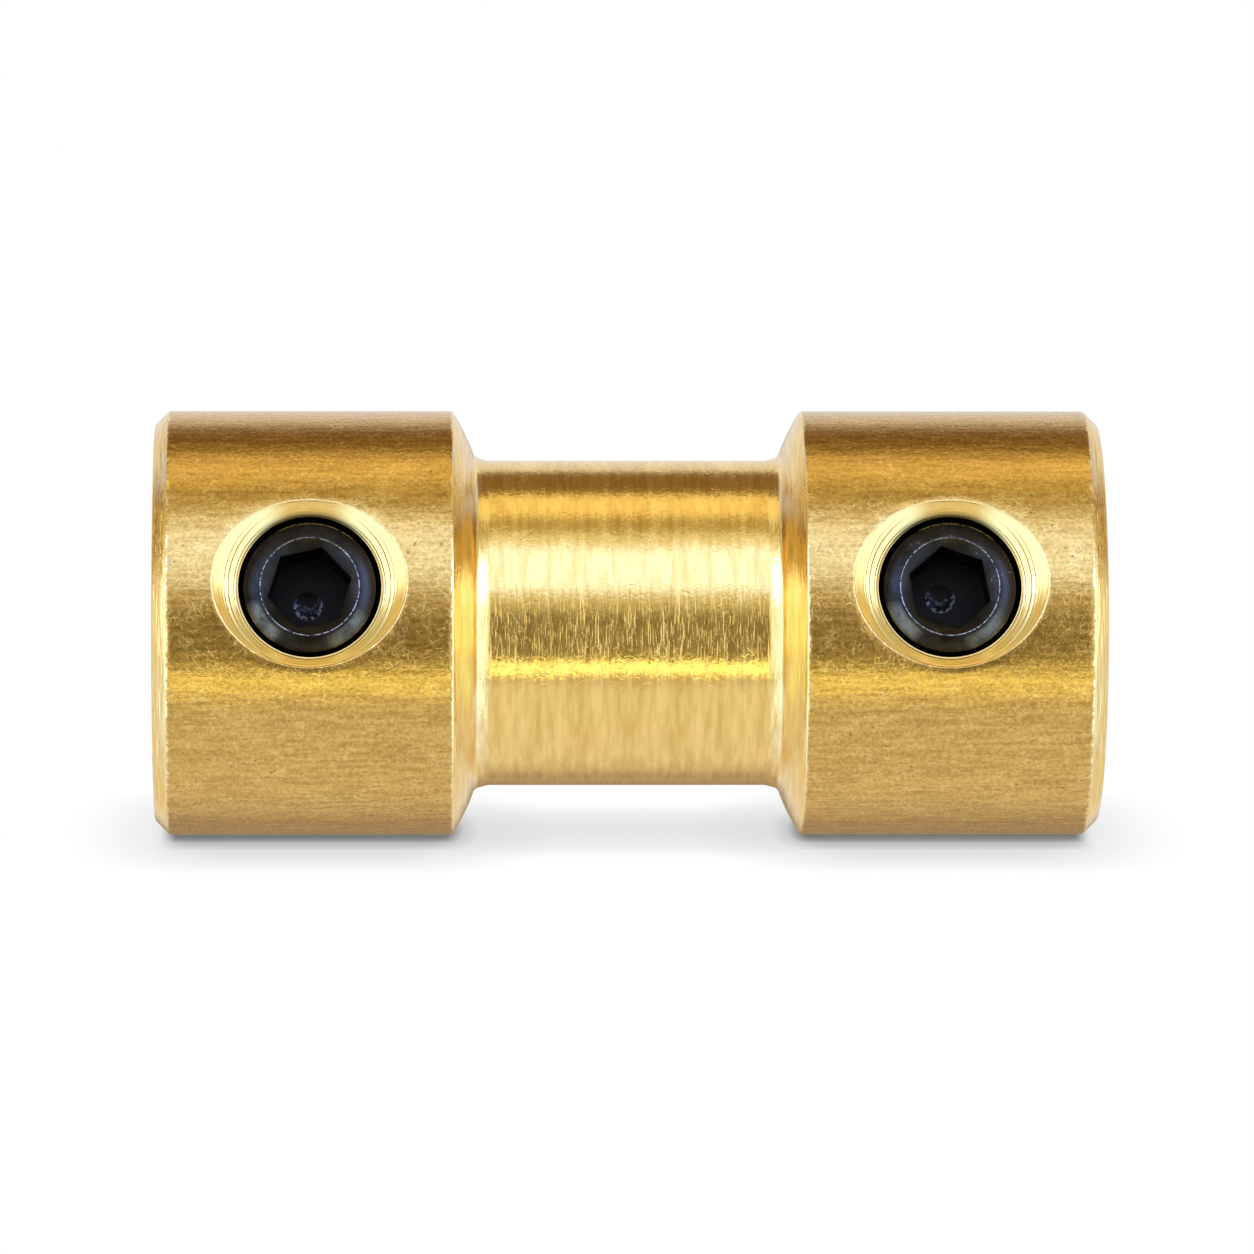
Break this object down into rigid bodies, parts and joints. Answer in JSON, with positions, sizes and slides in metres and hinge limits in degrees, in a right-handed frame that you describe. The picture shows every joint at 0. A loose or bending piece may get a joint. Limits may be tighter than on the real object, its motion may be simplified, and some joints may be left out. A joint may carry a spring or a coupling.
{
  "type": "rigid shaft coupling",
  "caption": "Rigid brass shaft coupling: a turned sleeve with a collar at each end and a slimmer neck between, bored through, with a socket set screw in each collar to clamp a shaft.",
  "frame": {"origin": "on the bore's axis, in the plane of the lower end face, on which the part stands", "axes": "+Z along the bore, towards the upper end; the set screws face -Y"},
  "size_m": [0.009, 0.009, 0.02],
  "materials": {
    "brass": "drawn bar, left satin with fine streaks along it; neck, shoulders, chamfers and faces turned bright",
    "black_steel": "black oxide with a thin film of oil, bright where the edges are rubbed"
  },
  "bodies": {
    "root": {"coupling_body": "brass", "lower_set_screw": "black_steel", "upper_set_screw": "black_steel"}
  },
  "joints": []
}
